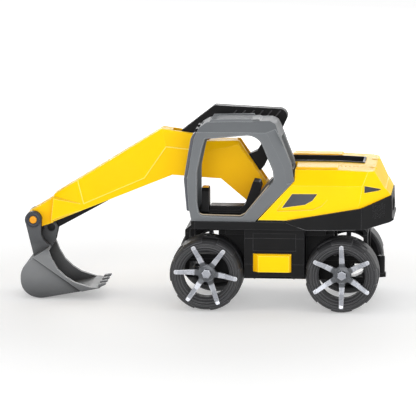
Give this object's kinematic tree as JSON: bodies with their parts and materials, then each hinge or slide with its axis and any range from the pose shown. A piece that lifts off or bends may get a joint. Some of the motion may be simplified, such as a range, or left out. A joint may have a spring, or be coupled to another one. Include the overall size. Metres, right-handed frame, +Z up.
{
  "type": "toy excavator",
  "caption": "Wheeled toy excavator with swivelling superstructure, open cab, raising boom, and a handle that curls the bucket through a rod.",
  "frame": {"origin": "on the ground, below the middle of the whole object's length and width", "axes": "+X forward to the bucket, +Y the vehicle's left (the cab side), +Z up"},
  "size_m": [0.3914, 0.1626, 0.2033],
  "materials": {
    "yellow_plastic": "satin moulded plastic, fine grain",
    "black_plastic": "matte moulded plastic, fine grain",
    "grey_plastic": "satin moulded plastic, fine grain",
    "tyre": "matte hard plastic tyre",
    "silver_plastic": "silver painted plastic",
    "steel": "zinc plated steel"
  },
  "bodies": {
    "undercarriage": {"chassis_tray": "black_plastic", "side_frame_left": "black_plastic", "side_frame_right": "black_plastic", "chassis_deck": "black_plastic", "chassis_screws": "steel", "step_bar": "yellow_plastic", "front_axle": "steel", "rear_axle": "steel", "tow_hitch": "black_plastic", "turntable_ring": "black_plastic"},
    "wheel_front_left": {"tyre_front_left": "tyre", "rim_front_left": "tyre", "spokes_front_left": "silver_plastic", "hub_cap_front_left": "silver_plastic"},
    "wheel_rear_left": {"tyre_rear_left": "tyre", "rim_rear_left": "tyre", "spokes_rear_left": "silver_plastic", "hub_cap_rear_left": "silver_plastic"},
    "wheel_front_right": {"tyre_front_right": "tyre", "rim_front_right": "tyre", "spokes_front_right": "silver_plastic", "hub_cap_front_right": "silver_plastic"},
    "wheel_rear_right": {"tyre_rear_right": "tyre", "rim_rear_right": "tyre", "spokes_rear_right": "silver_plastic", "hub_cap_rear_right": "silver_plastic"},
    "superstructure": {"platform": "black_plastic", "rear_grille": "black_plastic", "rear_badge": "black_plastic", "king_washer": "steel", "king_screw": "steel", "hood": "yellow_plastic", "side_vent_left": "black_plastic", "side_vent_right": "black_plastic", "rear_vent_left": "black_plastic", "rear_vent_right": "black_plastic", "slot_liner": "black_plastic", "hood_screws": "steel", "boom_pivot_pin": "steel", "cab_frame": "grey_plastic", "windscreen_frame": "grey_plastic", "roof_lamps": "black_plastic", "seat": "black_plastic", "console": "black_plastic"},
    "boom": {"boom_shell": "yellow_plastic", "handle_pin": "steel", "bucket_pin": "yellow_plastic"},
    "handle": {"handle": "black_plastic", "rod_pin": "steel"},
    "control_rod": {"control_rod": "black_plastic"},
    "bucket": {"bucket_shell": "grey_plastic", "link_pin": "black_plastic"}
  },
  "joints": [
    {"name": "wheel_spin_front_left", "type": "hinge", "parent": "undercarriage", "child": "wheel_front_left", "pos_m": [-0.0041, 0.06, 0.038], "axis": [0, 1, 0], "continuous": true},
    {"name": "wheel_spin_rear_left", "type": "hinge", "parent": "undercarriage", "child": "wheel_rear_left", "pos_m": [-0.1441, 0.06, 0.038], "axis": [0, 1, 0], "continuous": true},
    {"name": "wheel_spin_front_right", "type": "hinge", "parent": "undercarriage", "child": "wheel_front_right", "pos_m": [-0.0041, -0.06, 0.038], "axis": [0, 1, 0], "continuous": true},
    {"name": "wheel_spin_rear_right", "type": "hinge", "parent": "undercarriage", "child": "wheel_rear_right", "pos_m": [-0.1441, -0.06, 0.038], "axis": [0, 1, 0], "continuous": true},
    {"name": "swivel", "type": "hinge", "parent": "undercarriage", "child": "superstructure", "pos_m": [-0.0741, 0, 0.085], "axis": [0, 0, 1], "continuous": true},
    {"name": "boom_pitch", "type": "hinge", "parent": "superstructure", "child": "boom", "pos_m": [-0.0601, -0.015, 0.106], "axis": [0, -1, 0], "range_deg": [-8, 50]},
    {"name": "bucket_curl", "type": "hinge", "parent": "boom", "child": "bucket", "pos_m": [0.1839, -0.015, 0.0814], "axis": [0, 1, 0], "range_deg": [-20, 28]},
    {"name": "handle_lever", "type": "hinge", "parent": "boom", "child": "handle", "pos_m": [-0.0421, -0.015, 0.141], "axis": [0, 1, 0], "range_deg": [-13, 9]},
    {"name": "rod_swing", "type": "hinge", "parent": "bucket", "child": "control_rod", "pos_m": [0.1659, -0.015, 0.072], "axis": [0, 1, 0], "range_deg": [-28, 20]}
  ],
  "couplings": [
    {"joint": "handle_lever", "follows": "bucket_curl", "ratio": -0.4288},
    {"joint": "rod_swing", "follows": "bucket_curl", "ratio": -0.938}
  ]
}
